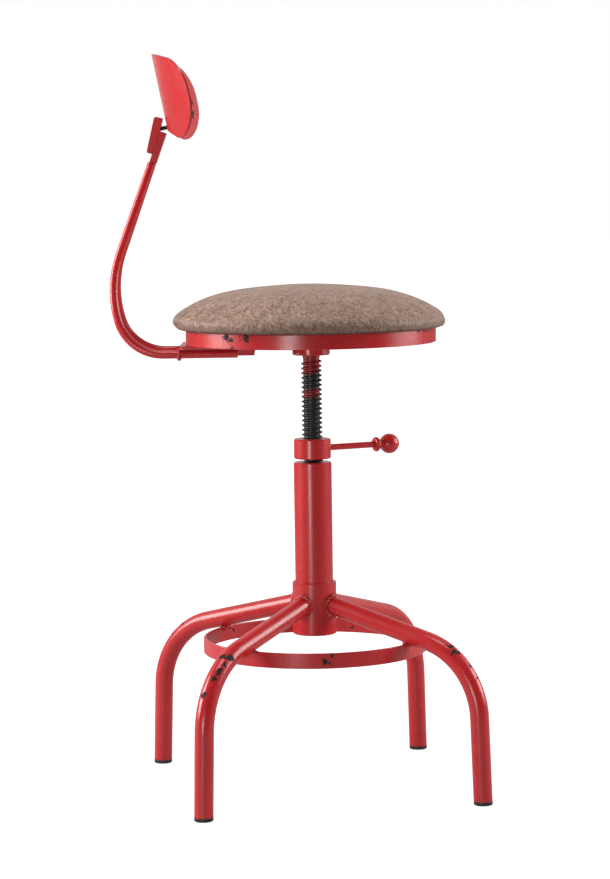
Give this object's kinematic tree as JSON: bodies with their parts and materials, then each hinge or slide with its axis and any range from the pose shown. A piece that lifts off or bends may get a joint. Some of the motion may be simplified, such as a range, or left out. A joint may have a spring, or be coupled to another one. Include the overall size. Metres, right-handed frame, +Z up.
{
  "type": "swivel stool",
  "caption": "Low-backed swivel stool: round padded seat on a threaded screw that raises it as it turns, with a lever lock collar, a curved steel back and a tube base with a foot ring.",
  "frame": {"origin": "on the floor, under the axis of the column", "axes": "+Z up along the column; the sitter faces -Y, so the back is at +Y"},
  "size_m": [0.4554, 0.4928, 0.9821],
  "materials": {
    "red_paint": "worn gloss enamel with chips",
    "black_plastic": "matt",
    "dark_steel": "oiled dark steel",
    "plain_steel": "plain steel",
    "nylon": "matt",
    "plywood": "raw plywood",
    "foam": "open-cell foam",
    "brown_leather": "distressed artificial leather",
    "black_rubber": "matt"
  },
  "bodies": {
    "base": {"leg_rear_left": "red_paint", "leg_rear_right": "red_paint", "leg_front_right": "red_paint", "leg_front_left": "red_paint", "foot_cap_rear_left": "black_plastic", "foot_cap_rear_right": "black_plastic", "foot_cap_front_right": "black_plastic", "foot_cap_front_left": "black_plastic", "leg_welds": "red_paint", "foot_ring": "red_paint", "ring_welds": "red_paint", "hub": "red_paint", "column_tube": "red_paint", "column_nut": "plain_steel"},
    "screw_guide": {"guide_bush": "nylon"},
    "seat": {"screw": "dark_steel", "stop_washer": "plain_steel", "stop_bolt": "plain_steel", "screw_boss": "red_paint", "apron_ring": "red_paint", "underframe_bar_long": "red_paint", "underframe_bar_left": "red_paint", "underframe_bar_right": "red_paint", "ring_tabs": "red_paint", "seat_board": "plywood", "board_screws": "plain_steel", "seat_foam": "foam", "seat_cover": "brown_leather", "back_mount_plate": "red_paint", "rod_stop_bar": "red_paint", "mount_bolts": "plain_steel", "mount_nuts": "plain_steel", "back_rod_left": "red_paint", "back_rod_right": "red_paint", "rod_welds": "red_paint", "back_strap": "red_paint", "back_block": "red_paint", "pan_spacers": "black_rubber", "back_pan": "red_paint", "pan_screws": "plain_steel"},
    "lock_washer": {"friction_washer": "nylon"},
    "lock": {"lock_collar": "red_paint", "lever_rod": "red_paint", "ball_knob": "red_paint"}
  },
  "joints": [
    {"name": "seat_rise", "type": "slide", "parent": "base", "child": "screw_guide", "axis": [0, 0, 1], "range_m": [-0.10161, 0.06986]},
    {"name": "seat_turn", "type": "hinge", "parent": "screw_guide", "child": "seat", "pos_m": [0, 0, 0.5], "axis": [0, 0, 1], "range_deg": [-5760, 3960]},
    {"name": "collar_rise", "type": "slide", "parent": "base", "child": "lock_washer", "axis": [0, 0, 1], "range_m": [-0.00495, 0.00636]},
    {"name": "collar_turn", "type": "hinge", "parent": "lock_washer", "child": "lock", "pos_m": [0, 0, 0.455], "axis": [0, 0, 1], "range_deg": [-280, 360]}
  ],
  "couplings": [
    {"joint": "seat_rise", "follows": "seat_turn", "m_per_rad": 0.0010106},
    {"joint": "collar_rise", "follows": "collar_turn", "m_per_rad": 0.0010106}
  ]
}
